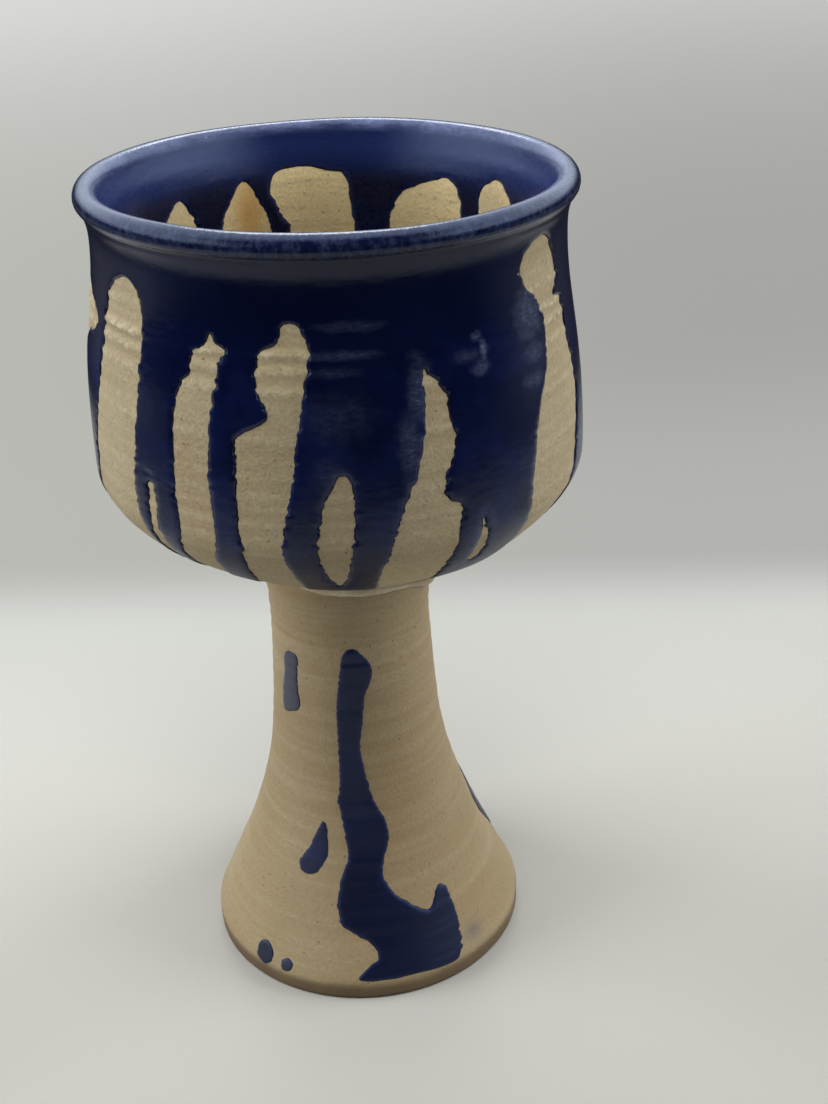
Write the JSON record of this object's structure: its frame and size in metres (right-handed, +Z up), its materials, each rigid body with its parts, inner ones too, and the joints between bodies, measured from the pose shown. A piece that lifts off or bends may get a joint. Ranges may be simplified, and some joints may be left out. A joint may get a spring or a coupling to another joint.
{
  "type": "ceramic chalice",
  "caption": "Hand-thrown stoneware chalice with a rolled lip, a hollow flared stem luted on with slip, and cobalt glaze running down in drips over bare clay.",
  "frame": {"origin": "centre of the foot ring on the surface that the chalice stands on", "axes": "+Z up along the axis it was thrown on; -Y is the front, with the long glaze run on the stem"},
  "size_m": [0.093, 0.0932, 0.165],
  "materials": {
    "clay": "bare buff stoneware, matt and slightly grainy",
    "slip": "pale dry slip",
    "cobalt_glaze": "glossy dark cobalt blue"
  },
  "bodies": {
    "root": {"bowl": "clay", "stem": "clay", "joint_collar": "slip", "outer_glaze": "cobalt_glaze", "inner_glaze": "cobalt_glaze", "stem_run": "cobalt_glaze", "stem_dash": "cobalt_glaze", "stem_drop": "cobalt_glaze", "edge_run": "cobalt_glaze", "back_run": "cobalt_glaze", "foot_spot": "cobalt_glaze", "foot_fleck": "cobalt_glaze"}
  },
  "joints": []
}
